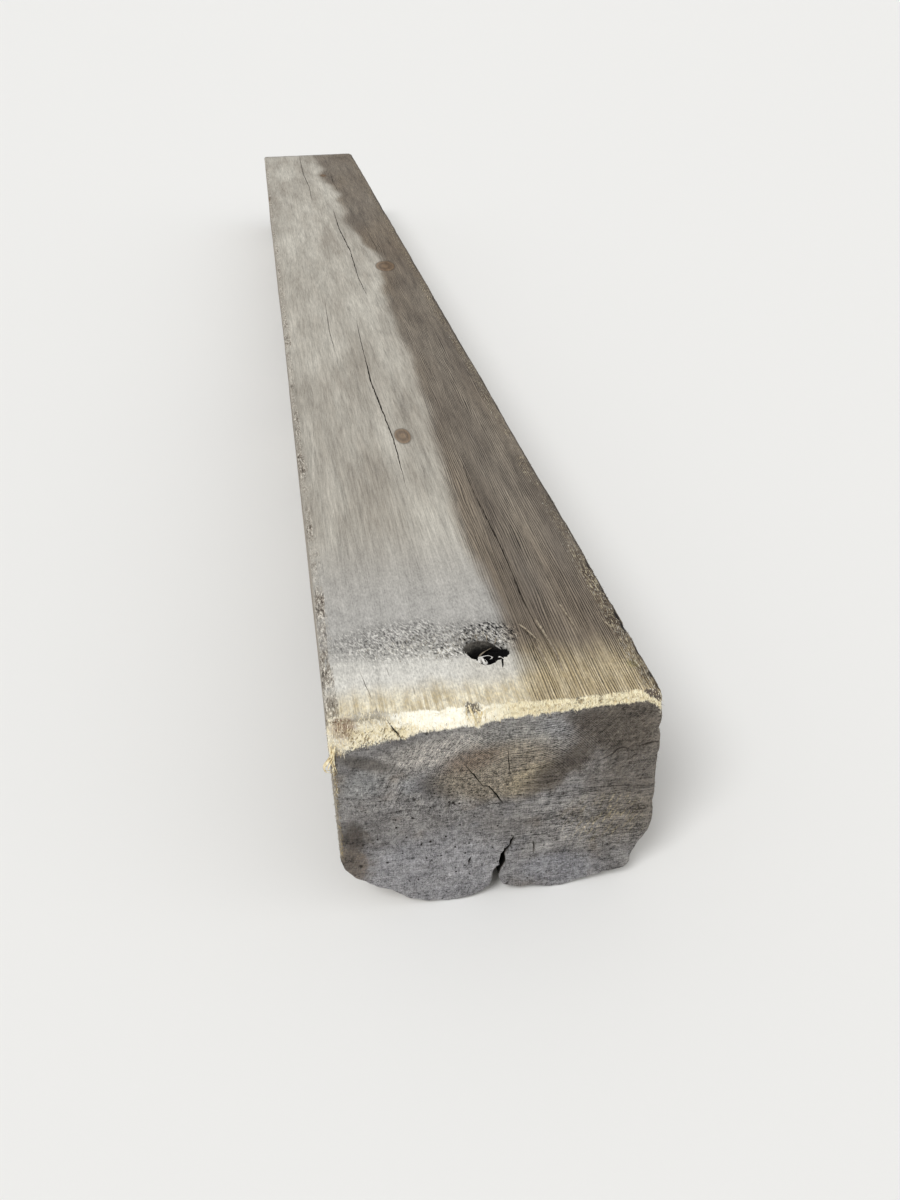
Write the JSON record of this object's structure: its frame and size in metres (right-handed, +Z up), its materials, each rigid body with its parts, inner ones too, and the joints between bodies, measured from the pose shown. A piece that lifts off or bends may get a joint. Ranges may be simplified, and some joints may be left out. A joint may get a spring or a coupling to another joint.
{
  "type": "reclaimed wood beam",
  "caption": "Reclaimed softwood beam, sawn square, with wane on the lower edges, a blind dowel hole near one end and a split in that end.",
  "frame": {"origin": "middle of the underside", "axes": "+X right as seen from the bored end, +Y along the beam away from the bored end, +Z up"},
  "size_m": [0.226, 2.4, 0.17],
  "materials": {
    "weathered_wood": "rough sawn, weathered grey-brown"
  },
  "bodies": {
    "root": {"beam": "weathered_wood"}
  },
  "joints": []
}
